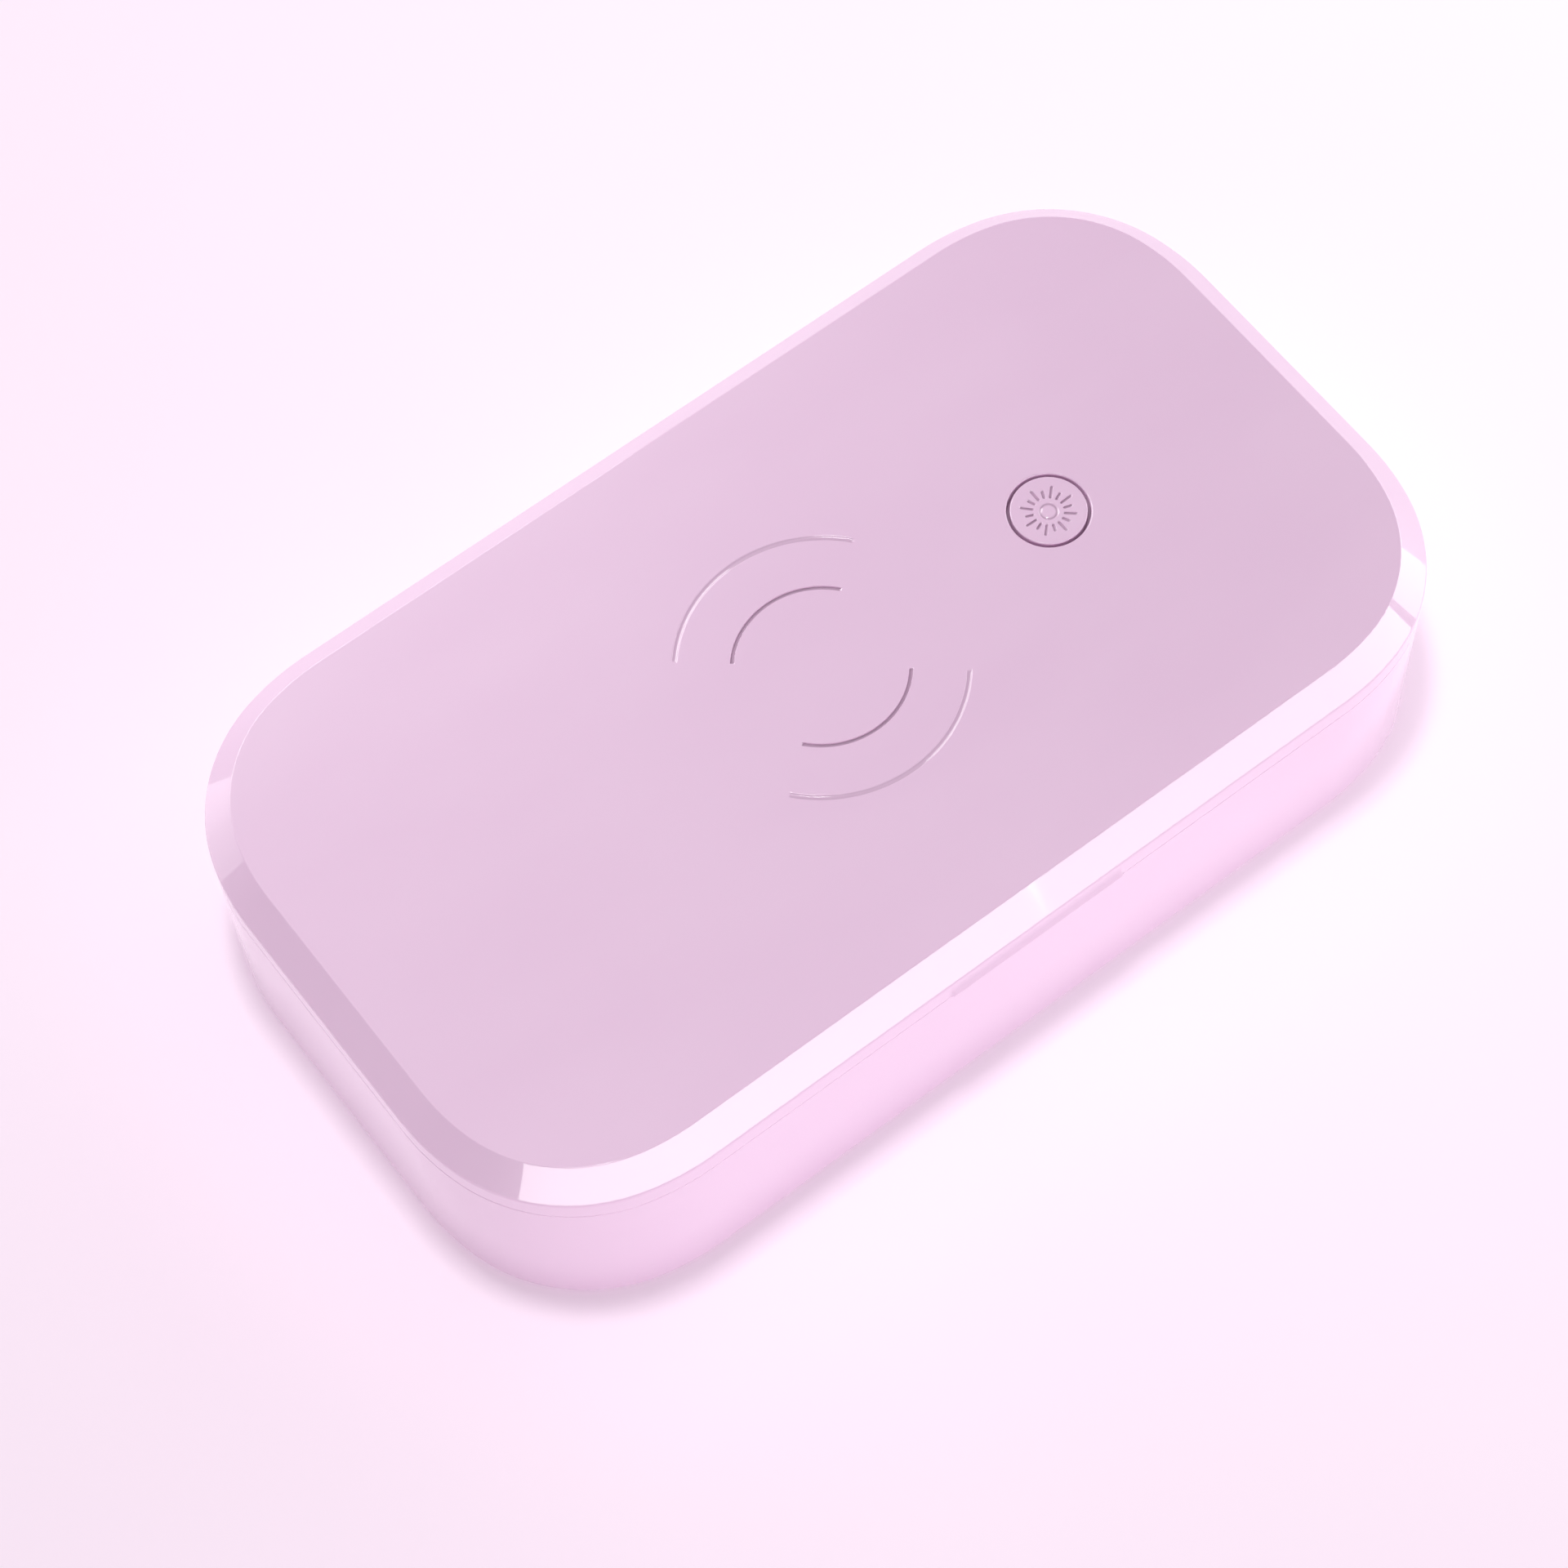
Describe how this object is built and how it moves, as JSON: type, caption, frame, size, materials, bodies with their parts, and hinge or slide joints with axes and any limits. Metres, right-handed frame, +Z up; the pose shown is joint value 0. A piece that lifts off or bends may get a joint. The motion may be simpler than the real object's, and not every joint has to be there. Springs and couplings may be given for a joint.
{
  "type": "uv led lamp box",
  "caption": "Slim rounded clamshell lamp box with a hinged lid that carries ultraviolet lamps, a charging coil and a sun-marked push button, over a mirrored chamber.",
  "frame": {"origin": "middle of the bounding box on the plane the feet stand on", "axes": "+X along the length, the front with the thumb lip faces -Y and the hinge +Y, +Z up"},
  "size_m": [0.215, 0.1244, 0.047],
  "materials": {
    "pink_shell": "satin moulded ABS",
    "pink_shell_matt": "fine spark-textured ABS",
    "pink_button": "satin moulded ABS",
    "mirror_liner": "vacuum metallised",
    "copper_coil": "enamelled copper wire",
    "ferrite": "sintered matt",
    "circuit_board": "white solder mask",
    "led_package": "ceramic package with silicone dome",
    "clear_lens": "clear moulded",
    "black_moulding": "matt",
    "nickel_magnet": "nickel plated",
    "screw_steel": "zinc plated",
    "socket_steel": "drawn stainless",
    "battery_foil": "laminated foil",
    "foam_tape": "closed-cell foam",
    "seal_rubber": "silicone",
    "foot_rubber": "silicone",
    "pin_steel": "ground"
  },
  "bodies": {
    "base": {"base_housing": "pink_shell", "inner_tray": "mirror_liner", "light_seal": "seal_rubber", "bottom_plate": "pink_shell_matt", "foot_front_left": "foot_rubber", "foot_back_left": "foot_rubber", "foot_front_right": "foot_rubber", "foot_back_right": "foot_rubber", "case_screws": "screw_steel", "main_board": "circuit_board", "board_components": "black_moulding", "board_screws": "screw_steel", "usb_c_socket": "socket_steel", "battery_pack": "battery_foil", "battery_pad": "foam_tape", "lid_sensor": "circuit_board", "base_magnets": "nickel_magnet", "hinge_pin_left": "pin_steel", "hinge_pin_right": "pin_steel"},
    "lid": {"lid_cover": "pink_shell", "lid_liner": "mirror_liner", "charging_coil": "copper_coil", "coil_ferrite": "ferrite", "lamp_board": "circuit_board", "uv_leds": "led_package", "led_lenses": "clear_lens", "tact_switch": "black_moulding", "lid_magnets": "nickel_magnet", "liner_screws": "screw_steel", "lamp_board_screws": "screw_steel"},
    "button": {"uv_button": "pink_button", "switch_plunger": "black_moulding"}
  },
  "joints": [
    {"name": "lid_hinge", "type": "hinge", "parent": "base", "child": "lid", "pos_m": [0, 0.06023, 0.0354], "axis": [-1, 0, 0], "range_deg": [0, 100]},
    {"name": "button_press", "type": "slide", "parent": "lid", "child": "button", "axis": [0, 0, -1], "range_m": [0, 0.0005], "stiffness_N_per_m": 2500, "springref_m": -0.0003}
  ]
}
